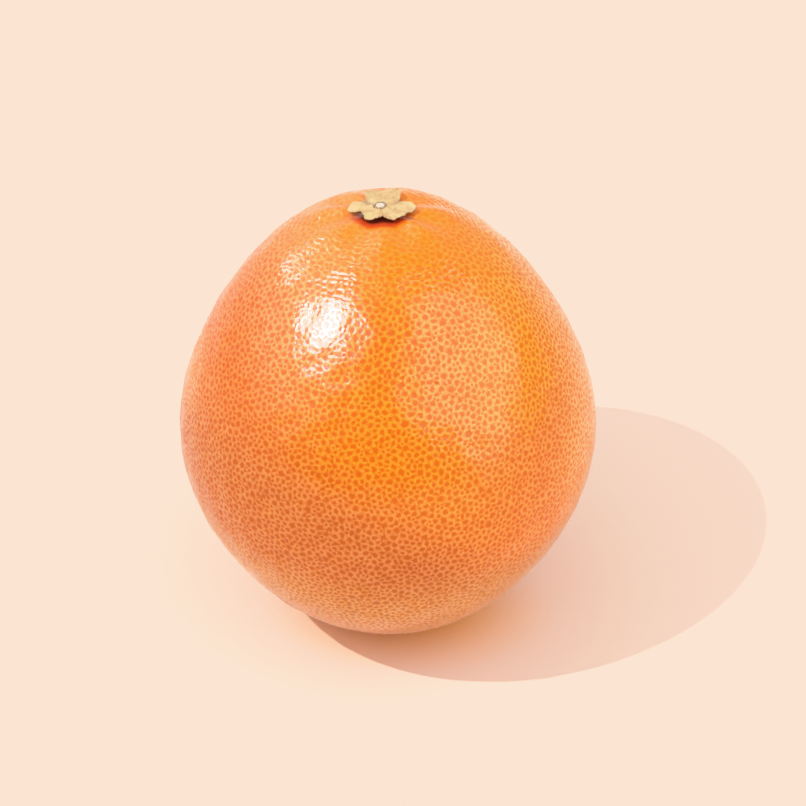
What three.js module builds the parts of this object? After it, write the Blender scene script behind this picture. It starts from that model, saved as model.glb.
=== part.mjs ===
// A whole grapefruit at rest: the fruit as it grew, the dried calyx in its stem basin and the stub of its stem.
// Lengths are in millimetres and angles in degrees. +Z is up. The fruit stands on z = 0, its box centred on
// the origin. Azimuths turn counterclockwise from +X, seen from above. The fruit's own axis runs from its
// blossom end to its stem.
import * as THREE from "three";
import { ConvexHull } from "three/addons/math/ConvexHull.js";

// Driving dimensions of the fruit
const RADIUS = 50.7; // mean radius, before the swellings below
const TALLER = 0.0629; // the swellings are shares of the radius: this one lengthens the axis
const PEAR = 0.0304; // narrows the shoulders and fills the lower half
const SQUARER = 0.0167; // fills the girth and both ends, and flattens the flanks between them
const CORNERS = { share: 0.0098, rise: 40 }; // four soft corners round a line that rises this far towards -Y
const BASIN = { depth: 1.25, width: 12.2 }; // the shallow dip round the stem
const FURROWS = { count: 7, depth: 0.5, from: 10.5, width: 6, wander: 0.6 }; // soft folds out of the basin
const LEAN = 9.4; // the stem leans this far from upright
const LEAN_AZIMUTH = 100;
const FLAT_DEPTH = 1.5; // how far the skin gives where the fruit rests

// Oil glands: three-sided pits in the skin, fewer and larger than life
const GLANDS = 1350;
const GLAND = { mouth: 1.0, mouthSpread: 0.25, depth: 0.5, sides: 3 }; // mouth is the radius of its corners
const GLAND_SCATTER = 0.3; // share of the spacing that each gland is off its even place
const SEED = 7;

// Driving dimensions of the dried calyx: a small disc with six pointed lobes of unlike reach
const GAP = 0.4; // clear space between the pieces
const CALYX = { disc: 4.1, thickness: 1.0, edge: 0.5 };
const CURL = { front: 1.0, back: 1.2 }; // how far the rim lifts off the skin
const LOBES = [
  { azimuth: -3, reach: 7.4, halfWidth: 28 },
  { azimuth: 70, reach: 8.3, halfWidth: 40 },
  { azimuth: 100, reach: 8.2, halfWidth: 38 },
  { azimuth: 182, reach: 6.9, halfWidth: 29 },
  { azimuth: 243, reach: 5.5, halfWidth: 46 },
  { azimuth: -40, reach: 6.6, halfWidth: 48 },
];
const LOBE_POINT = 1.2; // 1 would give straight-sided points, and more gives rounder ones
const CALYX_SPOKES = 72;
const CALYX_RINGS = 5;

// Driving dimensions of the stem stub
const STUB = { foot: 1.35, top: 1.15, height: 0.8, bevel: 0.2, sides: 20 };

const radians = THREE.MathUtils.degToRad;
const bell = (distance, width) => Math.exp(-((distance / width) ** 2));

// A repeatable row of chance numbers between 0 and 1: each state is the last one times a fixed factor
function seededRandom(seed) {
  const factor = 16807;
  const modulus = 2 ** 31 - 1;
  let state = seed;
  return () => {
    state = (state * factor) % modulus;
    return state / modulus;
  };
}

// Height of the soft folds round the stem, at an arc distance from it and an azimuth
function furrow(arc, azimuth) {
  const wander = FURROWS.wander * Math.sin(2 * azimuth + 1);
  const height = FURROWS.depth * bell(arc - FURROWS.from, FURROWS.width);
  return height * Math.sin(FURROWS.count * azimuth + wander);
}

// Distance from the fruit's middle to its skin, in a direction given along the fruit's own axes.
// The swellings along the axis are the Legendre curves of second, third and fourth degree.
function skinRadius(direction) {
  const c = direction.z;
  const azimuth = Math.atan2(direction.y, direction.x);
  const arc = RADIUS * Math.acos(THREE.MathUtils.clamp(c, -1, 1));
  const taller = TALLER * (1.5 * c ** 2 - 0.5);
  const pear = PEAR * (2.5 * c ** 3 - 1.5 * c);
  const squarer = SQUARER * (4.375 * c ** 4 - 3.75 * c ** 2 + 0.375);
  const across = direction.x;
  const along = direction.y * Math.sin(radians(CORNERS.rise)) + c * Math.cos(radians(CORNERS.rise));
  const corners = CORNERS.share * (across ** 4 - 6 * across ** 2 * along ** 2 + along ** 4);
  const swollen = RADIUS * (1 + taller + pear + squarer + corners);
  return swollen - BASIN.depth * bell(arc, BASIN.width) + furrow(arc, azimuth);
}

// A direction on a spiral with the golden angle, which spreads the glands evenly, shaken a little
function glandDirection(i, random) {
  const goldenAngle = Math.PI * (3 - Math.sqrt(5));
  const shake = GLAND_SCATTER * Math.sqrt((4 * Math.PI) / GLANDS);
  const z = 1 - (2 * (i + 0.5)) / GLANDS;
  const girth = Math.sqrt(1 - z * z);
  const turn = i * goldenAngle;
  const even = new THREE.Vector3(girth * Math.cos(turn), girth * Math.sin(turn), z);
  const offset = new THREE.Vector3(random() - 0.5, random() - 0.5, random() - 0.5);
  return even.addScaledVector(offset, shake).normalize();
}

// The corners of a gland's mouth, as directions round the gland's own, turned by chance
function mouthCorners(direction, random) {
  const across = new THREE.Vector3(1, 0, 0).cross(direction).normalize();
  const turn = 2 * Math.PI * random();
  const spread = (GLAND.mouth * (1 + GLAND.mouthSpread * (2 * random() - 1))) / RADIUS;
  return Array.from({ length: GLAND.sides }, (_, side) => {
    const outward = across.clone().applyAxisAngle(direction, turn + (2 * Math.PI * side) / GLAND.sides);
    return direction.clone().addScaledVector(outward, spread).normalize();
  });
}

// The skin is the hull of all the mouths' corners. Each face that closes a mouth gives way to a pit.
function fruitGeometry(lean) {
  const random = seededRandom(SEED);
  const glands = Array.from({ length: GLANDS }, (_, i) => {
    const direction = glandDirection(i, random);
    return { direction, corners: mouthCorners(direction, random) };
  });
  const corners = glands.flatMap((gland) => gland.corners);
  const numberOf = new Map(corners.map((corner, number) => [corner, number]));
  const standing = (direction, depth) =>
    direction.clone().multiplyScalar(skinRadius(direction) - depth).applyQuaternion(lean);
  const points = corners.map((corner) => standing(corner, 0));
  glands.forEach((gland) => points.push(standing(gland.direction, GLAND.depth)));

  const triangles = [];
  const hull = new ConvexHull().setFromPoints(corners);
  for (const face of hull.faces) {
    const [a, b, c] = [0, 1, 2].map((i) => numberOf.get(face.getEdge(i).head().point));
    const glandsMet = [a, b, c].map((number) => Math.floor(number / GLAND.sides));
    if (new Set(glandsMet).size === 1) {
      const bottom = corners.length + glandsMet[0];
      triangles.push(a, b, bottom, b, c, bottom, c, a, bottom);
    } else {
      triangles.push(a, b, c);
    }
  }

  const box = new THREE.Box3().setFromPoints(points);
  const middle = box.getCenter(new THREE.Vector3());
  const centre = new THREE.Vector3(-middle.x, -middle.y, -box.min.z - FLAT_DEPTH);
  for (const point of points) {
    point.add(centre);
    point.z = Math.max(point.z, 0);
  }
  const geometry = new THREE.BufferGeometry().setFromPoints(points);
  geometry.setIndex(triangles);
  return { geometry, centre };
}

// How far the calyx reaches from the stem at an azimuth in radians
function calyxReach(azimuth) {
  const beyondDisc = LOBES.map((lobe) => {
    const turned = azimuth - radians(lobe.azimuth);
    const off = Math.abs(Math.atan2(Math.sin(turned), Math.cos(turned)));
    const share = Math.min(1, off / radians(lobe.halfWidth));
    return (lobe.reach - CALYX.disc) * (1 - share ** LOBE_POINT);
  });
  return CALYX.disc + Math.hypot(...beyondDisc);
}

// A point over the skin near the stem, a given arc away from it
function overSkin(arc, azimuth, height) {
  const tilt = arc / RADIUS;
  const aside = Math.sin(tilt);
  const direction = new THREE.Vector3(aside * Math.cos(azimuth), aside * Math.sin(azimuth), Math.cos(tilt));
  return direction.clone().multiplyScalar(skinRadius(direction) + height);
}

// The calyx follows the skin at a small gap, thins towards its edge and curls up there
function calyxGeometry() {
  const points = [overSkin(0, 0, GAP), overSkin(0, 0, GAP + CALYX.thickness)];
  const at = (ring, spoke, side) => 2 + 2 * ((ring - 1) * CALYX_SPOKES + (spoke % CALYX_SPOKES)) + side;
  for (let ring = 1; ring <= CALYX_RINGS; ring++) {
    const share = ring / CALYX_RINGS;
    for (let spoke = 0; spoke < CALYX_SPOKES; spoke++) {
      const azimuth = (2 * Math.PI * spoke) / CALYX_SPOKES;
      const arc = share * calyxReach(azimuth);
      const curl = THREE.MathUtils.lerp(CURL.front, CURL.back, (1 + Math.sin(azimuth)) / 2);
      const lift = GAP + curl * share ** 3;
      const thickness = THREE.MathUtils.lerp(CALYX.thickness, CALYX.edge, share);
      points.push(overSkin(arc, azimuth, lift), overSkin(arc, azimuth, lift + thickness));
    }
  }
  const triangles = [];
  for (let spoke = 0; spoke < CALYX_SPOKES; spoke++) {
    triangles.push(0, at(1, spoke + 1, 0), at(1, spoke, 0));
    triangles.push(1, at(1, spoke, 1), at(1, spoke + 1, 1));
    for (let ring = 1; ring < CALYX_RINGS; ring++) {
      const [a, b] = [at(ring, spoke, 0), at(ring, spoke + 1, 0)];
      const [c, d] = [at(ring + 1, spoke, 0), at(ring + 1, spoke + 1, 0)];
      triangles.push(a, b, d, a, d, c);
      triangles.push(a + 1, d + 1, b + 1, a + 1, c + 1, d + 1);
    }
    const [e, f] = [at(CALYX_RINGS, spoke, 0), at(CALYX_RINGS, spoke + 1, 0)];
    triangles.push(e, f, f + 1, e, f + 1, e + 1);
  }
  const geometry = new THREE.BufferGeometry().setFromPoints(points);
  geometry.setIndex(triangles);
  return geometry;
}

// The stub: a short tapered peg with a worn upper edge, on its own foot at z = 0
function stubGeometry() {
  const { foot, top, height, bevel, sides } = STUB;
  const profile = [
    [0, 0],
    [foot, 0],
    [top, height - bevel],
    [top - bevel, height],
    [0, height],
  ].map(([x, y]) => new THREE.Vector2(x, y));
  return new THREE.LatheGeometry(profile, sides).rotateX(Math.PI / 2);
}

function piece(name, geometry, color, roughness) {
  const material = new THREE.MeshStandardMaterial({ color, roughness, metalness: 0, flatShading: true });
  const mesh = new THREE.Mesh(geometry, material);
  mesh.name = name;
  return mesh;
}

const leanAxis = new THREE.Vector3(-Math.sin(radians(LEAN_AZIMUTH)), Math.cos(radians(LEAN_AZIMUTH)), 0);
const lean = new THREE.Quaternion().setFromAxisAngle(leanAxis, radians(LEAN));
const { geometry: skin, centre } = fruitGeometry(lean);

// The pieces at the stem stand in the fruit's own leaning frame
const crown = new THREE.Group();
crown.position.copy(centre);
crown.quaternion.copy(lean);
crown.add(piece("calyx", calyxGeometry(), "#dcbd80", 0.8));
const stub = piece("stem_stub", stubGeometry(), "#efe6cf", 0.75);
stub.position.z = overSkin(0, 0, 2 * GAP + CALYX.thickness).z;
crown.add(stub);

const grapefruit = new THREE.Group();
grapefruit.add(piece("fruit", skin, "#f28a2e", 0.38));
grapefruit.add(crown);

export default grapefruit;
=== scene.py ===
# A grapefruit at rest on a plain pale surface: its pitted peel, its dried calyx and the stub of its stem.
# Lengths are in metres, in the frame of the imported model. The fruit's own axis points to its stem.
import math

import bmesh
import bpy
import numpy as np
from mathutils import Matrix, Vector


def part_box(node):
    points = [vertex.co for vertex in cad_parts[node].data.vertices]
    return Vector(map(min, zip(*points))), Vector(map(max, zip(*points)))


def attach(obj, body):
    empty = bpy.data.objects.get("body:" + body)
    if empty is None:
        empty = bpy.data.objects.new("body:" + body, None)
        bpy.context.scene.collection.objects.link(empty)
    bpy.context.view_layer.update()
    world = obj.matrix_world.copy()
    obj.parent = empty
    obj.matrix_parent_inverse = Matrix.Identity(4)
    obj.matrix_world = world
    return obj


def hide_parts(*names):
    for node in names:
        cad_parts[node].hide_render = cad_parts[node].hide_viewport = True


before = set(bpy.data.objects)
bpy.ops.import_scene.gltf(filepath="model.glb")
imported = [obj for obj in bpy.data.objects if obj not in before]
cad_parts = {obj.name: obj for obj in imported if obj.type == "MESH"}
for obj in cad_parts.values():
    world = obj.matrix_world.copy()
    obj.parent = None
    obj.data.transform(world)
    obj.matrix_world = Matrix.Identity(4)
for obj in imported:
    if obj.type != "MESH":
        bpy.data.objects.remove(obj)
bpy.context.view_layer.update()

MM = 0.001

# Driving dimensions of the fruit, the same as its solid's
RADIUS = 50.7 * MM
TALLER = 0.0629
PEAR = 0.0304
SQUARER = 0.0167
CORNERS_SHARE = 0.0098
CORNERS_RISE = math.radians(40)
BASIN_DEPTH = 1.25 * MM
BASIN_WIDTH = 12.2 * MM
FURROW_COUNT = 7
FURROW_DEPTH = 0.5 * MM
FURROW_FROM = 10.5 * MM
FURROW_WIDTH = 6 * MM
LEAN = math.radians(9.4)
LEAN_AZIMUTH = math.radians(100)
FLAT_DEPTH = 1.5 * MM

# Oil glands at their true size. A cell is a gland with its share of the ridges between. The calm is where
# glands get shallow, round the stem.
GLANDS = 13800
GLAND_SCATTER = 0.6
EVENING_ROUNDS = 3
GLAND_REACH = 0.8
GLAND_DEPTH = 0.22 * MM
GLAND_DEPTH_SPREAD = 0.5
CALM = 0.6
CALM_WIDTH = 14 * MM
SEED = 11

# The skin's unevenness, the dip under the rim of the calyx and the blossom scar
WAVES = 24
WAVE_LENGTHS = (4.5 * MM, 12 * MM)
WAVE_HEIGHT = 0.052 * MM
MOAT_DEPTH = 0.35 * MM
MOAT_FROM = 5.2 * MM
MOAT_WIDTH = 2.2 * MM
BLOSSOM_DEPTH = 0.7 * MM
BLOSSOM_WIDTH = 2.4 * MM

# The dried calyx: the outline of its solid, with a ragged edge, domed lobes and a curled rim. A lobe has
# its azimuth in degrees, its reach in millimetres and half its width in degrees.
CALYX_DISC = 4.1 * MM
LOBES = [(-3, 7.4, 28), (70, 8.3, 40), (100, 8.2, 38), (182, 6.9, 29), (243, 5.5, 46), (-40, 6.6, 48)]
LOBE_POINT = 1.2
CALYX_SPOKES = 300
CALYX_RINGS = 30
CALYX_GAP = 0.06 * MM
CALYX_THICKNESS = (1.2 * MM, 0.3 * MM)
CURL = (0.9 * MM, 1.2 * MM)
DOME = 0.45 * MM
DOME_FROM = 0.35
RAGGED = 0.2 * MM
VEINS = 34
VEIN_HEIGHT = 0.06 * MM
LIP_HEIGHT = 0.06 * MM
LIP_WIDTH = 0.06
WRINKLE_HEIGHT = 0.05 * MM
SEAT_RING_HEIGHT = 0.35 * MM
SEAT_RING_RADIUS = 1.75 * MM
SEAT_RING_WIDTH = 0.45 * MM
SEAT_DEPTH = 0.45 * MM
SEAT_WIDTH = 1.25 * MM
SEAT_MIDDLE_DROP = 0.05 * MM

# The stub of the stem. Its profile runs from near the top's middle to the foot, as radius and height in
# millimetres.
STUB_PROFILE = [(0.3, 0.78), (0.6, 0.82), (0.8, 0.76), (0.92, 0.58), (1.0, 0.3), (1.15, 0.0)]
STUB_MIDDLE = 0.74 * MM
STUB_BASE = CALYX_GAP + 0.7 * MM
STUB_SIDES = 40

# The camera looks at a point on the floor behind the middle of the fruit
CAMERA_ELEVATION = math.radians(39.88)
CAMERA_DISTANCE = 0.9126
CAMERA_AIM = Vector((3.6 * MM, 66.7 * MM, 0))
CAMERA_LENS = 154.1
SENSOR_WIDTH = 36.0

# The floor. Colours and tones are linear, with 1 as white. The painted bounce is an ellipse near the
# fruit's foot, where the fruit's orange bounce light and its shade are painted into the floor's colour.
FLOOR_HALF = 4.0
FLOOR_TONE = (0.965, 0.776, 0.645)
FLOOR_ALBEDO = (0.90, 0.67, 0.55)
PAINTED_BOUNCE = (0.98, 0.48, 0.10)
PAINTED_BOUNCE_MIDDLE = (6 * MM, -13 * MM, 0)
PAINTED_BOUNCE_REACH = (39 * MM, 25 * MM)

# The peel: the colour of its ridges, then that of its glands. A zone comes in along each of its slopes,
# from a start to an end, which are distances along a direction.
PEEL = (0.90, 0.262, 0.010), (0.62, 0.105, 0.001)
PEEL_PATCHES = (0.90, 0.285, 0.014), (0.62, 0.120, 0.001)
# Paler peel towards the outline at the sides: a painted rim sheen
PEEL_PAINTED_RIM = (0.86, 0.330, 0.060), (0.66, 0.170, 0.012)
LEFT = (-1, 0, 0)
RIGHT = (1, 0, 0)
UP = (0, 0, 1)
PEEL_ZONES = {
    # Darker and redder on the left: a blush, and painted shade that tempers the key's light
    "left": ([(LEFT, 14 * MM, 38 * MM)], (0.79, 0.190, 0.008), (0.55, 0.085, 0.001)),
    # Painted shade on the right flank
    "right": ([(RIGHT, 14 * MM, 36 * MM)], (0.87, 0.245, 0.012), (0.60, 0.112, 0.003)),
    # The painted rim sheen at both sides
    "left_painted_rim": ([(LEFT, 41 * MM, 49.5 * MM)], *PEEL_PAINTED_RIM),
    "right_painted_rim": ([(RIGHT, 37 * MM, 47 * MM)], *PEEL_PAINTED_RIM),
    # Painted light: paler peel on the right shoulder
    "right_shoulder_painted_light": (
        [(RIGHT, 14 * MM, 26 * MM), (UP, 68 * MM, 82 * MM)],
        (0.90, 0.315, 0.014),
        (0.66, 0.145, 0.003),
    ),
    # Painted shade on the low front
    "low_front_painted_shade": ([((-0.5, -0.5, -0.75), -34 * MM, -12 * MM)], (0.62, 0.190, 0.024), (0.43, 0.080, 0.003)),
    # Paler at the bottom: painted bounce light from the floor
    "foot": ([((0, 0, -1), -48 * MM, -28 * MM)], (0.68, 0.290, 0.050), (0.48, 0.140, 0.008)),
}
PEEL_ROUND_STEM = (0.88, 0.220, 0.008)
# Painted shade under the front edge of the calyx: reddish, then dark in the moat
PEEL_PAINTED_RED_SHADE = (0.62, 0.060, 0.010)
# Painted shadow in the moat under the calyx's front edge
PEEL_PAINTED_MOAT_SHADE = (0.20, 0.022, 0.006)
BLOSSOM_SCAR = (0.22, 0.10, 0.035)
PEEL_RELIEF = 0.08 * MM

# The coloured spot in a gland: how much a large gland widens it, how ragged it is, and its soft edge
SPOT_SIZE_SPREAD = 0.2
SPOT_RAGGEDNESS = 2.2
SPOT_EDGE = (0.97, 1.70)

# Creases round the stem: their share of the relief, their wave's radians for each millimetre away from the
# stem, and how many radians it wanders
CREASE_SHARE = 0.38
CREASE_RATE = 4.6
CREASE_WANDER = 18.0

# The calyx and the stub
STRAW = (0.50, 0.285, 0.10)
PALE_STRAW = (0.60, 0.405, 0.165)
# Painted shade between the lobes
CALYX_PAINTED_VALLEY_SHADE = (0.20, 0.12, 0.055)
CALYX_RING = (0.14, 0.075, 0.03)
CALYX_SPECK = (0.17, 0.08, 0.025)
# Painted shade on the calyx's underside
CALYX_PAINTED_UNDERSIDE_SHADE = (0.17, 0.075, 0.032)
CALYX_RELIEF = 0.15 * MM
CUT_WOOD = (0.72, 0.68, 0.55), (0.55, 0.48, 0.32)
STUB_EDGE = (0.32, 0.20, 0.09)
STUB_RELIEF = 0.08 * MM

# The key and the softbox. A direction is an azimuth and an elevation in degrees, or points to the light.
KEY_DIRECTION = (201.4, 53.2)
KEY_STRENGTH = 1.9
KEY_ANGLE = 0.8
SOFTBOX_TOWARDS = (0.70, -0.34, 0.63)
SOFTBOX_UPWARD = (0.02, 0.90, 0.44)
SOFTBOX_SIZE = (1.8, 1.9)
SOFTBOX_DISTANCE = 1.5
SOFTBOX_RADIANCE = 0.85

# Lights that only the skin's gloss shows. A sun has its direction, strength and angle. A glow has its
# direction, radiance and the angles of its discs. A panel has its direction, upward side, size, distance
# and radiance.
GLOSS_SUNS = {
    "key_gloss": ((200, 52.5), 10.5, 18),
    "low_glint": ((137.7, 25.7), 0.5, 5),
    "high_glint": ((122.4, 57.3), 0.16, 4),
}
GLOSS_GLOWS = {
    "key_halo": ((185, 42), 2.1, (42, 58, 74, 86)),
    "behind_left": ((130, 28), 1.2, (44, 56, 68, 80, 92)),
}
GLOSS_PANELS = {
    "softbox_gloss": (SOFTBOX_TOWARDS, SOFTBOX_UPWARD, (1.68, 1.77), 1.4, 2.6),
    "behind_right": ((0.6, 0.75, 0.5), UP, (1.6, 1.4), 1.5, 0.4),
    "left_panel": ((-0.9, -0.35, 0.5), UP, (1.6, 1.6), 1.6, 0.3),
}

# The world round the fruit, and the response of the picture in shares of the floor's tone
AMBIENT = (0.94, 0.94, 0.94)
AMBIENT_IN_GLOSS = (0.08, 0.08, 0.08)
BACKDROP = (1.35, 1.08, 0.9)
RESPONSE_STRAIGHT = 0.85
RESPONSE_FLAT = (1.1, 1.9)
RESPONSE_WHITE = 3.6


def unit(vectors):
    return vectors / np.linalg.norm(vectors, axis=-1, keepdims=True)


def bell(distance, width):
    return np.exp(-((distance / width) ** 2))


def rows(matrix, vectors):
    """Turns each row vector by a matrix."""
    return vectors @ np.array(matrix).T


# The fruit's form

def furrow(arc, azimuth):
    """Height of the soft folds round the stem."""
    wander = 0.6 * np.sin(2 * azimuth + 1)
    return FURROW_DEPTH * bell(arc - FURROW_FROM, FURROW_WIDTH) * np.sin(FURROW_COUNT * azimuth + wander)


def skin_radius(d):
    """Distance from the fruit's middle to its skin, for unit directions given along its own axes."""
    c = d[:, 2]
    azimuth = np.arctan2(d[:, 1], d[:, 0])
    arc = RADIUS * np.arccos(np.clip(c, -1, 1))
    taller = TALLER * (1.5 * c**2 - 0.5)
    pear = PEAR * (2.5 * c**3 - 1.5 * c)
    squarer = SQUARER * (4.375 * c**4 - 3.75 * c**2 + 0.375)
    across = d[:, 0]
    along = d[:, 1] * math.sin(CORNERS_RISE) + c * math.cos(CORNERS_RISE)
    corners = CORNERS_SHARE * (across**4 - 6 * across**2 * along**2 + along**4)
    swollen = RADIUS * (1 + taller + pear + squarer + corners)
    return swollen - BASIN_DEPTH * bell(arc, BASIN_WIDTH) + furrow(arc, azimuth)


LEAN_MATRIX = Matrix.Rotation(LEAN, 3, Vector((-math.sin(LEAN_AZIMUTH), math.cos(LEAN_AZIMUTH), 0)))


def fruit_centre():
    """The middle of the fruit's own frame, where its solid has it."""
    steps = np.linspace(0, math.pi, 181)
    turns = np.linspace(0, 2 * math.pi, 360, endpoint=False)
    psi, phi = np.meshgrid(steps, turns, indexing="ij")
    d = np.stack([np.sin(psi) * np.cos(phi), np.sin(psi) * np.sin(phi), np.cos(psi)], -1).reshape(-1, 3)
    leaned = rows(LEAN_MATRIX, d * skin_radius(d)[:, None])
    middle = (leaned.min(0) + leaned.max(0)) / 2
    low, high = (np.array(corner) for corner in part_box("fruit"))
    x, y, _ = (low + high) / 2 - middle
    return np.array([x, y, low[2] - leaned[:, 2].min() - FLAT_DEPTH])


CENTRE = fruit_centre()


def standing(directions, heights=0.0):
    """Points over the skin in the model's frame, pressed flat where the fruit rests."""
    points = directions * (skin_radius(directions) + heights)[:, None]
    placed = rows(LEAN_MATRIX, points) + CENTRE
    placed[:, 2] = np.maximum(placed[:, 2], 0)
    return placed


def over_skin(arc, azimuth, height):
    """Points over the skin, an arc away from the stem."""
    tilt = arc / RADIUS
    d = np.stack([np.sin(tilt) * np.cos(azimuth), np.sin(tilt) * np.sin(azimuth), np.cos(tilt)], -1)
    return standing(d, height)


# Mesh helpers

def make_object(name, points, faces, material):
    mesh = bpy.data.meshes.new(name)
    mesh.from_pydata(points.tolist(), [], faces)
    mesh.materials.append(material)
    mesh.shade_smooth()
    piece = bpy.data.objects.new(name, mesh)
    bpy.context.scene.collection.objects.link(piece)
    return piece


def paint(piece, name, values):
    attribute = piece.data.attributes.new(name, "FLOAT", "POINT")
    attribute.data.foreach_set("value", np.asarray(values, dtype=np.float32))


def dress(piece, node):
    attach(piece, "root")
    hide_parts(node)


# The peel

def joined(directions):
    """The directions that their convex hull keeps, and the triangles between neighbours."""
    bm = bmesh.new()
    for number, direction in enumerate(directions):
        bm.verts.new(direction).index = number
    bmesh.ops.convex_hull(bm, input=bm.verts)
    corners = np.array([[v.index for v in face.verts] for face in bm.faces])
    bm.free()
    kept, triangles = np.unique(corners, return_inverse=True)
    triangles = triangles.reshape(-1, 3)
    directions = directions[kept]
    a, b, c = (directions[triangles[:, i]] for i in range(3))
    inward = np.einsum("ij,ij->i", np.cross(b - a, c - a), a) < 0
    triangles[inward] = triangles[inward][:, ::-1]
    return directions, triangles


def gland_net(random):
    """Gland directions: a spiral with the golden angle, shaken, then evened out, and their triangles."""
    i = np.arange(GLANDS)
    z = 1 - 2 * (i + 0.5) / GLANDS
    turn = i * math.pi * (3 - math.sqrt(5))
    girth = np.sqrt(1 - z * z)
    spiral = np.stack([girth * np.cos(turn), girth * np.sin(turn), z], -1)
    spacing = math.sqrt(4 * math.pi / GLANDS)
    shaken = unit(spiral + GLAND_SCATTER * spacing * random.uniform(-1, 1, spiral.shape))
    directions, triangles = joined(shaken)
    for _ in range(EVENING_ROUNDS):
        moved = np.zeros_like(directions)
        middles = unit(directions[triangles].mean(1))
        for corner in range(3):
            np.add.at(moved, triangles[:, corner], middles)
        directions, triangles = joined(unit(moved))
    return directions, triangles


def peel_mesh(random):
    """Directions of glands and rims, and triangles. Each gland is a dished pit in a cell of its own."""
    sites, net = gland_net(random)
    middles = unit(sites[net].mean(1))
    glands = len(sites)

    # One row for each directed edge of the net. It stands for the corner that its tail's cell has in the
    # edge's own triangle. The cell's corner before that lies in the triangle on the edge's other side.
    tails = net.ravel()
    heads = np.roll(net, -1, 1).ravel()
    edge = np.arange(len(tails))
    following = edge // 3 * 3 + (edge + 1) % 3
    key = tails * glands + heads
    order = np.argsort(key)
    twin = order[np.searchsorted(key[order], heads * glands + tails)]
    before = following[twin]

    outward = middles[edge // 3] - sites[tails]
    rims = unit(sites[tails] + GLAND_REACH * outward)
    once = tails < heads
    rim = glands + edge
    triangles = np.concatenate([
        np.stack([tails, rim[before], rim], -1),
        np.stack([rim[before], rim[twin], rim[following]], -1)[once],
        np.stack([rim[before], rim[following], rim], -1)[once],
        rim.reshape(-1, 3),
    ])
    return sites, rims, tails, triangles


def undulation(directions, random):
    """A soft unevenness of the skin, as the sum of waves that run all ways."""
    height = np.zeros(len(directions))
    for _ in range(WAVES):
        along = unit(random.normal(size=3))
        wave = 2 * math.pi * RADIUS / random.uniform(*WAVE_LENGTHS)
        height += np.sin(wave * directions @ along + random.uniform(0, 2 * math.pi))
    return WAVE_HEIGHT * height / math.sqrt(WAVES / 2)


def make_peel(material):
    random = np.random.default_rng(SEED)
    sites, rims, tails, triangles = peel_mesh(random)
    size = random.uniform(0, 1, len(sites))
    directions = np.concatenate([sites, rims])
    arc = RADIUS * np.arccos(np.clip(directions[:, 2], -1, 1))
    blossom = bell(math.pi * RADIUS - arc, BLOSSOM_WIDTH)
    calm = CALM * bell(arc[: len(sites)], CALM_WIDTH)
    depth = GLAND_DEPTH * (1 - GLAND_DEPTH_SPREAD * (1 - size)) * (1 - calm)
    heights = undulation(directions, random)
    heights -= MOAT_DEPTH * bell(arc - MOAT_FROM, MOAT_WIDTH) + BLOSSOM_DEPTH * blossom
    heights[: len(sites)] -= depth
    piece = make_object("peel", standing(directions, heights), triangles.tolist(), material)
    paint(piece, "gland", np.concatenate([np.ones(len(sites)), np.zeros(len(rims))]))
    paint(piece, "gland_size", np.concatenate([size, size[tails]]))
    paint(piece, "stem_arc", arc / MM)
    dress(piece, "fruit")


# The calyx and the stub

def lobe_shares(azimuth):
    """How far inside each lobe an azimuth is, from 1 on its midline to 0 at its sides."""
    shares = []
    for lobe_azimuth, _, half_width in LOBES:
        turned = azimuth - math.radians(lobe_azimuth)
        off = np.abs(np.arctan2(np.sin(turned), np.cos(turned)))
        shares.append(1 - np.minimum(1, off / math.radians(half_width)) ** LOBE_POINT)
    return np.array(shares)


def calyx_reach(azimuth):
    beyond = np.array([reach * MM - CALYX_DISC for _, reach, _ in LOBES])
    return CALYX_DISC + np.linalg.norm(beyond[:, None] * lobe_shares(azimuth), axis=0)


def calyx_top(share, azimuth, arc, inside):
    """Height of the calyx's upper face over its lower one. It thins outwards, with domes and veins."""
    thickness = CALYX_THICKNESS[0] + (CALYX_THICKNESS[1] - CALYX_THICKNESS[0]) * share
    dome = DOME * (inside - DOME_FROM) * np.sin(math.pi * share**0.8) ** 0.8
    veins = VEIN_HEIGHT * np.sin(VEINS * azimuth + 2 * np.sin(5 * azimuth) + 2 * share) * share
    lip = LIP_HEIGHT * bell(1 - share, LIP_WIDTH)
    seat_ring = SEAT_RING_HEIGHT * bell(arc - SEAT_RING_RADIUS, SEAT_RING_WIDTH)
    seat = SEAT_DEPTH * bell(arc, SEAT_WIDTH)
    wrinkle = WRINKLE_HEIGHT * np.sin(9 * azimuth + 900 * arc) * np.sin(3 * azimuth - 1400 * arc)
    return thickness + dome + veins + lip + seat_ring - seat + wrinkle


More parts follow.
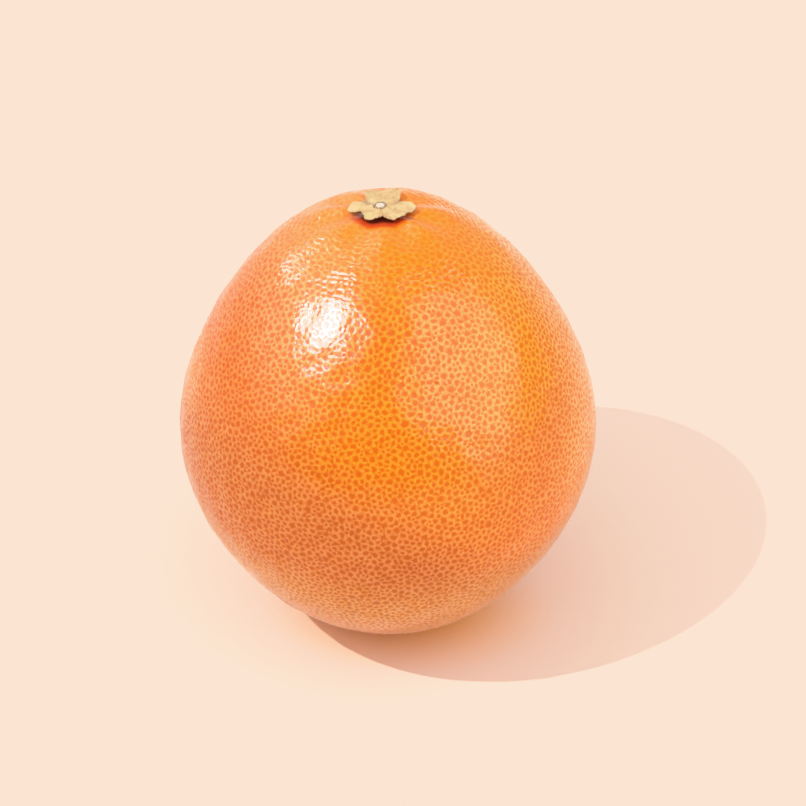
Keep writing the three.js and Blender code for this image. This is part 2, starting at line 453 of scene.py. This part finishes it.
def make_calyx(material):
    share = np.linspace(0, 1, CALYX_RINGS + 1)[1:, None]
    azimuth = np.linspace(0, 2 * math.pi, CALYX_SPOKES, endpoint=False)[None, :]
    coarse = np.sin(17 * azimuth + 1) * np.sin(5 * azimuth)
    fine = 0.6 * np.sin(41 * azimuth + 2) * np.sin(3 * azimuth)
    arc = share * (calyx_reach(azimuth[0]) + RAGGED * (coarse + fine))
    behind = (1 + np.sin(azimuth)) / 2
    curl = (CURL[0] + (CURL[1] - CURL[0]) * behind) * (1 + 0.2 * np.sin(7 * azimuth + 0.6))
    lift = CALYX_GAP + curl * share**3
    inside = lobe_shares(azimuth[0]).max(0) ** 0.8
    top = lift + calyx_top(share, azimuth, arc, inside)
    around = np.broadcast_to(azimuth, arc.shape)
    centre = np.zeros(1)
    points = np.concatenate([
        over_skin(arc.ravel(), around.ravel(), top.ravel()),
        over_skin(arc.ravel(), around.ravel(), lift.ravel()),
        over_skin(centre, centre, top[:1, 0] - SEAT_MIDDLE_DROP),
        over_skin(centre, centre, lift[:1, 0]),
    ])
    size = CALYX_RINGS * CALYX_SPOKES
    outermost = size - CALYX_SPOKES
    faces = []
    for spoke in range(CALYX_SPOKES):
        after = (spoke + 1) % CALYX_SPOKES
        faces.append((2 * size, spoke, after))
        faces.append((2 * size + 1, size + after, size + spoke))
        rim, next_rim = outermost + spoke, outermost + after
        faces.append((rim, size + rim, size + next_rim, next_rim))
        for ring in range(0, outermost, CALYX_SPOKES):
            a, b = ring + spoke, ring + after
            c, d = a + CALYX_SPOKES, b + CALYX_SPOKES
            faces.append((a, c, d, b))
            faces.append((size + a, size + b, size + d, size + c))
    piece = make_object("calyx_dried", points, faces, material)
    everywhere = np.broadcast_to(share, arc.shape).ravel()
    middles = np.broadcast_to(inside, arc.shape).ravel()
    paint(piece, "rim_share", np.concatenate([everywhere, everywhere, [0, 0]]))
    paint(piece, "inside_lobe", np.concatenate([middles, middles, [1, 1]]))
    paint(piece, "upper", np.concatenate([np.ones(size), np.zeros(size), [1, 0]]))
    paint(piece, "stem_arc", np.concatenate([arc.ravel(), arc.ravel(), [0, 0]]) / MM)
    dress(piece, "calyx")


def make_stub(material):
    turn = np.tile(2 * math.pi * np.arange(STUB_SIDES) / STUB_SIDES, len(STUB_PROFILE))
    radius = np.repeat([out * MM for out, _ in STUB_PROFILE], STUB_SIDES)
    height = np.repeat([STUB_BASE + up * MM for _, up in STUB_PROFILE], STUB_SIDES)
    radius = radius * (1 + 0.06 * np.sin(3 * turn + 1) + 0.03 * np.sin(7 * turn))
    centre = np.zeros(1)
    points = np.concatenate([
        over_skin(radius, turn, height),
        over_skin(centre, centre, centre + STUB_BASE + STUB_MIDDLE),
        over_skin(centre, centre, centre + STUB_BASE),
    ])
    middle = len(turn)
    outermost = middle - STUB_SIDES
    faces = []
    for side in range(STUB_SIDES):
        after = (side + 1) % STUB_SIDES
        faces.append((middle, side, after))
        faces.append((middle + 1, outermost + after, outermost + side))
        for ring in range(0, outermost, STUB_SIDES):
            a, b = ring + side, ring + after
            faces.append((a, a + STUB_SIDES, b + STUB_SIDES, b))
    piece = make_object("stub_cut", points, faces, material)
    paint(piece, "stem_arc", np.concatenate([radius, [0, 0]]) / MM)
    dress(piece, "stem_stub")


# Materials

def new_material(name):
    material = bpy.data.materials.new(name)
    material.use_nodes = True
    tree = material.node_tree
    return material, tree, tree.nodes["Principled BSDF"]


def attribute(tree, name):
    node = tree.nodes.new("ShaderNodeAttribute")
    node.attribute_name = name
    return node.outputs["Fac"]


def map_range(tree, value, low, high, to_low=0.0, to_high=1.0):
    """Goes smoothly from one number to another while the value goes from low to high."""
    node = tree.nodes.new("ShaderNodeMapRange")
    node.interpolation_type = "SMOOTHSTEP"
    node.inputs["From Min"].default_value = low
    node.inputs["From Max"].default_value = high
    node.inputs["To Min"].default_value = to_low
    node.inputs["To Max"].default_value = to_high
    tree.links.new(value, node.inputs["Value"])
    return node.outputs["Result"]


def maths(tree, operation, a, b=0.0):
    node = tree.nodes.new("ShaderNodeMath")
    node.operation = operation
    for socket, value in zip(node.inputs, (a, b)):
        if isinstance(value, (int, float)):
            socket.default_value = value
        else:
            tree.links.new(value, socket)
    return node.outputs[0]


def noise(tree, scale, detail=2.0, roughness=0.5, seed=0.0):
    coordinates = tree.nodes.new("ShaderNodeTexCoord")
    node = tree.nodes.new("ShaderNodeTexNoise")
    node.noise_dimensions = "4D"
    node.inputs["W"].default_value = seed
    node.inputs["Scale"].default_value = scale
    node.inputs["Detail"].default_value = detail
    node.inputs["Roughness"].default_value = roughness
    tree.links.new(coordinates.outputs["Object"], node.inputs["Vector"])
    return node.outputs["Fac"]


def mix(tree, factor, a, b):
    """A colour between two others. Each is a colour or the output of a node."""
    node = tree.nodes.new("ShaderNodeMix")
    node.data_type = "RGBA"
    tree.links.new(factor, node.inputs[0])
    for socket, value in zip(node.inputs[6:8], (a, b)):
        if isinstance(value, tuple):
            socket.default_value = (*value, 1)
        else:
            tree.links.new(value, socket)
    return node.outputs[2]


def bump(tree, height, distance):
    node = tree.nodes.new("ShaderNodeBump")
    node.inputs["Strength"].default_value = 1.0
    node.inputs["Distance"].default_value = distance
    tree.links.new(height, node.inputs["Height"])
    return node.outputs["Normal"]


def vector_maths(tree, operation, vector, by=(0, 0, 0)):
    node = tree.nodes.new("ShaderNodeVectorMath")
    node.operation = operation
    tree.links.new(vector, node.inputs[0])
    node.inputs[1].default_value = by
    return node.outputs["Value" if operation in ("DOT_PRODUCT", "LENGTH") else "Vector"]


def slope(tree, direction, start, end):
    """Rises from 0 to 1 between two distances along a direction."""
    coordinates = tree.nodes.new("ShaderNodeTexCoord")
    along = vector_maths(tree, "DOT_PRODUCT", coordinates.outputs["Object"], direction)
    return map_range(tree, along, start, end)


def zone_share(tree, slopes):
    share = slope(tree, *slopes[0])
    for other in slopes[1:]:
        share = maths(tree, "MULTIPLY", share, slope(tree, *other))
    return share


def peel_color(tree, arc, pit):
    """Light ridges round deeper-coloured glands that fade towards the stem. Zones paint shade, light, a
    rim sheen, bounce light and a blush into the peel. In front, the moat gets painted shade: reddish, then
    dark.
    """
    patches = map_range(tree, noise(tree, scale=25.0, seed=3.0), 0.3, 0.7)
    ridges, glands = (mix(tree, patches, plain, other) for plain, other in zip(PEEL, PEEL_PATCHES))
    # Zones: a blush with painted shade, painted shade, a painted rim sheen, painted light and painted
    # bounce light
    for slopes, zone_ridges, zone_glands in PEEL_ZONES.values():
        share = zone_share(tree, slopes)
        ridges = mix(tree, share, ridges, zone_ridges)
        glands = mix(tree, share, glands, zone_glands)
    away = map_range(tree, arc, 6.0, 36.0, 0.4, 1.0)
    ridges = mix(tree, away, PEEL_ROUND_STEM, ridges)
    color = mix(tree, maths(tree, "MULTIPLY", pit, away), ridges, glands)

    # Painted shade under the calyx's front edge, in front only: reddish, then dark in the moat
    front = slope(tree, (0, -1, 0), -10.5 * MM, -6 * MM)
    painted_red_shade = maths(tree, "MULTIPLY", map_range(tree, arc, 7.6, 5.9), front)
    color = mix(tree, painted_red_shade, color, PEEL_PAINTED_RED_SHADE)
    painted_moat_shade = maths(tree, "MULTIPLY", map_range(tree, arc, 5.6, 4.7), front)
    color = mix(tree, painted_moat_shade, color, PEEL_PAINTED_MOAT_SHADE)
    return mix(tree, map_range(tree, arc, 155.8, 157.6), color, BLOSSOM_SCAR)


def peel_relief(tree, arc):
    """Grain all over, and creases that run round the stem and fade out away from it."""
    grain = noise(tree, scale=1400.0, detail=3.0, roughness=0.6, seed=1.0)
    wave = maths(tree, "MULTIPLY", arc, CREASE_RATE)
    wander = maths(tree, "MULTIPLY", noise(tree, scale=330.0, seed=8.0), CREASE_WANDER)
    crease = maths(tree, "SINE", maths(tree, "ADD", wave, wander))
    near_stem = maths(tree, "MULTIPLY", map_range(tree, arc, 33.0, 18.0), map_range(tree, arc, 7.0, 11.0))
    crease = maths(tree, "MULTIPLY", crease, maths(tree, "MULTIPLY", near_stem, CREASE_SHARE))
    return bump(tree, maths(tree, "ADD", grain, crease), PEEL_RELIEF)


def peel_material():
    """The peel under a clear coat that is weaker in the glands. Arcs are in millimetres from the stem."""
    material, tree, shader = new_material("peel")
    arc = attribute(tree, "stem_arc")
    larger = maths(tree, "MULTIPLY", attribute(tree, "gland_size"), SPOT_SIZE_SPREAD)
    gland = maths(tree, "ADD", attribute(tree, "gland"), larger)
    ragged = noise(tree, scale=1500.0, detail=3.0, roughness=0.7, seed=6.0)
    ragged = maths(tree, "MULTIPLY", ragged, SPOT_RAGGEDNESS)
    pit = map_range(tree, maths(tree, "ADD", gland, ragged), *SPOT_EDGE)
    tree.links.new(peel_color(tree, arc, pit), shader.inputs["Base Color"])
    tree.links.new(map_range(tree, pit, 0.0, 0.8, 1.0, 0.4), shader.inputs["Coat Weight"])
    shader.inputs["Roughness"].default_value = 0.45
    shader.inputs["Specular IOR Level"].default_value = 0.05
    shader.inputs["Coat IOR"].default_value = 1.6
    shader.inputs["Coat Roughness"].default_value = 0.065
    shader.inputs["Sheen Weight"].default_value = 0.2
    shader.inputs["Sheen Roughness"].default_value = 0.3
    shader.inputs["Subsurface Weight"].default_value = 0.05
    shader.inputs["Subsurface Radius"].default_value = (1.0, 0.35, 0.1)
    shader.inputs["Subsurface Scale"].default_value = 0.8 * MM
    relief = peel_relief(tree, arc)
    tree.links.new(relief, shader.inputs["Normal"])
    tree.links.new(relief, shader.inputs["Coat Normal"])
    return material


def calyx_material():
    """Straw with dark specks, a dark ring round the stub and painted shade between the lobes. Painted
    shade underneath.
    """
    material, tree, shader = new_material("dried_calyx")
    rim = attribute(tree, "rim_share")
    arc = attribute(tree, "stem_arc")
    patches = map_range(tree, noise(tree, scale=350.0, detail=3.0, roughness=0.6), 0.35, 0.65)
    color = mix(tree, patches, STRAW, PALE_STRAW)
    between = map_range(tree, attribute(tree, "inside_lobe"), 0.42, 0.1)
    # Painted shade between the lobes, towards their rims
    painted_valley_shade = maths(tree, "MULTIPLY", between, map_range(tree, rim, 0.15, 0.5))
    color = mix(tree, maths(tree, "MULTIPLY", painted_valley_shade, 0.5), color, CALYX_PAINTED_VALLEY_SHADE)
    ring = maths(tree, "MULTIPLY", map_range(tree, arc, 1.0, 1.25), map_range(tree, arc, 1.75, 1.35))
    color = mix(tree, maths(tree, "MULTIPLY", ring, 0.8), color, CALYX_RING)
    specks = map_range(tree, noise(tree, scale=1300.0, detail=3.0, roughness=0.7, seed=5.0), 0.6, 0.7)
    color = mix(tree, maths(tree, "MULTIPLY", specks, 0.75), color, CALYX_SPECK)
    # Painted shade on the underside
    color = mix(tree, attribute(tree, "upper"), CALYX_PAINTED_UNDERSIDE_SHADE, color)
    tree.links.new(color, shader.inputs["Base Color"])
    shader.inputs["Roughness"].default_value = 0.75
    grain = noise(tree, scale=1500.0, detail=4.0, roughness=0.7)
    tree.links.new(bump(tree, grain, CALYX_RELIEF), shader.inputs["Normal"])
    return material


def stub_material():
    """Pale cut wood with a brown edge."""
    material, tree, shader = new_material("cut_stem")
    patches = map_range(tree, noise(tree, scale=1600.0, detail=3.0, roughness=0.6), 0.35, 0.7)
    color = mix(tree, patches, *CUT_WOOD)
    color = mix(tree, map_range(tree, attribute(tree, "stem_arc"), 0.75, 1.0), color, STUB_EDGE)
    tree.links.new(color, shader.inputs["Base Color"])
    shader.inputs["Roughness"].default_value = 0.7
    grain = noise(tree, scale=2200.0, detail=3.0, roughness=0.6)
    tree.links.new(bump(tree, grain, STUB_RELIEF), shader.inputs["Normal"])
    return material


def floor_material():
    """A plain floor with painted bounce light and shade near the fruit's shaded foot: the light that the
    fruit throws back, painted into the floor's colour.
    """
    material, tree, shader = new_material("floor")
    coordinates = tree.nodes.new("ShaderNodeTexCoord")
    apart = vector_maths(tree, "SUBTRACT", coordinates.outputs["Object"], PAINTED_BOUNCE_MIDDLE)
    apart = vector_maths(tree, "DIVIDE", apart, (*PAINTED_BOUNCE_REACH, 1))
    # Share of the painted bounce light and shade, fading out at the ellipse's edge
    painted_bounce_share = map_range(tree, vector_maths(tree, "LENGTH", apart), 1.0, 0.0)
    tree.links.new(mix(tree, painted_bounce_share, FLOOR_ALBEDO, PAINTED_BOUNCE), shader.inputs["Base Color"])
    shader.inputs["Roughness"].default_value = 0.9
    shader.inputs["Specular IOR Level"].default_value = 0.1
    return material


# Stage

def make_floor():
    far = FLOOR_HALF
    corners = [(-far, -far, 0), (far, -far, 0), (far, far, 0), (-far, far, 0)]
    floor = make_object("floor", np.array(corners), [(0, 1, 2, 3)], floor_material())


def facing(towards, upward):
    """A rotation whose -Z axis looks from a light, placed in direction towards, back at the fruit."""
    z = Vector(towards).normalized()
    x = Vector(upward).cross(z).normalized()
    y = z.cross(x)
    return Matrix((x, y, z)).transposed()


def light_panel(name, towards, upward, size, distance, radiance):
    data = bpy.data.lights.new(name, "AREA")
    data.shape = "RECTANGLE"
    data.size, data.size_y = size
    data.energy = radiance * math.pi * data.size * data.size_y
    panel = bpy.data.objects.new(name, data)
    rotation = facing(towards, upward)
    place = Vector(towards).normalized() * distance + Vector((0, 0, RADIUS))
    panel.matrix_world = Matrix.Translation(place) @ rotation.to_4x4()
    bpy.context.scene.collection.objects.link(panel)
    return panel


def sun(name, direction, strength, angle):
    azimuth, elevation = map(math.radians, direction)
    data = bpy.data.lights.new(name, "SUN")
    data.energy = strength
    data.angle = math.radians(angle)
    lamp = bpy.data.objects.new(name, data)
    towards = (
        math.cos(elevation) * math.cos(azimuth),
        math.cos(elevation) * math.sin(azimuth),
        math.sin(elevation),
    )
    lamp.matrix_world = facing(towards, UP).to_4x4()
    bpy.context.scene.collection.objects.link(lamp)
    return lamp


def glow(name, direction, radiance, angles):
    """Discs of light round one direction, one over another, so that the light falls off in small steps."""
    share = radiance / len(angles)
    return [
        sun(f"{name}_{angle}", direction, share * math.pi * (math.radians(angle) / 2) ** 2, angle)
        for angle in angles
    ]


def make_lights():
    """A hard key from the upper left and a large softbox on the right. Only the gloss shows the others."""
    key = sun("key", KEY_DIRECTION, KEY_STRENGTH, KEY_ANGLE)
    softbox = light_panel(
        "softbox", SOFTBOX_TOWARDS, SOFTBOX_UPWARD, SOFTBOX_SIZE, SOFTBOX_DISTANCE, SOFTBOX_RADIANCE
    )
    for light in (key, softbox):
        light.visible_glossy = False
    only_gloss = [light_panel(name, *details) for name, details in GLOSS_PANELS.items()]
    only_gloss += [sun(name, *details) for name, details in GLOSS_SUNS.items()]
    for name, details in GLOSS_GLOWS.items():
        only_gloss += glow(name, *details)
    for light in only_gloss:
        light.visible_diffuse = False
        light.visible_transmission = False


def make_world():
    """Even light all round. The gloss sees it dimmer, and behind the fruit it looks like the lit floor."""
    world = bpy.data.worlds.new("studio")
    bpy.context.scene.world = world
    world.use_nodes = True
    tree = world.node_tree
    path = tree.nodes.new("ShaderNodeLightPath")

    def background(color):
        node = tree.nodes.new("ShaderNodeBackground")
        node.inputs["Color"].default_value = (*color, 1)
        return node.outputs[0]

    def choose(test, otherwise, then):
        node = tree.nodes.new("ShaderNodeMixShader")
        tree.links.new(path.outputs[test], node.inputs[0])
        tree.links.new(otherwise, node.inputs[1])
        tree.links.new(then, node.inputs[2])
        return node.outputs[0]

    dimmer = choose("Is Glossy Ray", background(AMBIENT), background(AMBIENT_IN_GLOSS))
    seen = choose("Is Camera Ray", dimmer, background(BACKDROP))
    tree.links.new(seen, tree.nodes["World Output"].inputs["Surface"])


def make_camera():
    data = bpy.data.cameras.new("camera")
    data.lens = CAMERA_LENS
    data.sensor_width = SENSOR_WIDTH
    data.clip_end = 20.0
    camera = bpy.data.objects.new("camera", data)
    away = Vector((0, -math.cos(CAMERA_ELEVATION), math.sin(CAMERA_ELEVATION)))
    camera.location = CAMERA_AIM + CAMERA_DISTANCE * away
    camera.rotation_euler = (math.pi / 2 - CAMERA_ELEVATION, 0, 0)
    bpy.context.scene.collection.objects.link(camera)
    bpy.context.scene.camera = camera


def set_response():
    """The photo's overexposed look: each channel rises, rests at the floor's tone and rises again."""
    scene = bpy.context.scene
    scene.cycles.use_denoising = True
    view = scene.view_settings
    view.view_transform = "Standard"
    view.use_curve_mapping = True
    mapping = view.curve_mapping
    mapping.use_clip = False
    mapping.clip_max_x = RESPONSE_WHITE
    mapping.clip_max_y = 1.0
    for channel, tone in enumerate(FLOOR_TONE):
        curve = mapping.curves[channel]
        curve.points[0].location = (0, 0)
        curve.points[1].location = (RESPONSE_WHITE, 1)
        straight = RESPONSE_STRAIGHT * tone
        curve.points.new(straight, straight)
        curve.points.new(RESPONSE_FLAT[0] * tone, tone)
        curve.points.new(RESPONSE_FLAT[1] * tone, tone)
        for point in curve.points:
            point.handle_type = "VECTOR"
    mapping.update()


make_camera()
make_floor()
make_lights()
make_world()
set_response()
make_peel(peel_material())
make_calyx(calyx_material())
make_stub(stub_material())
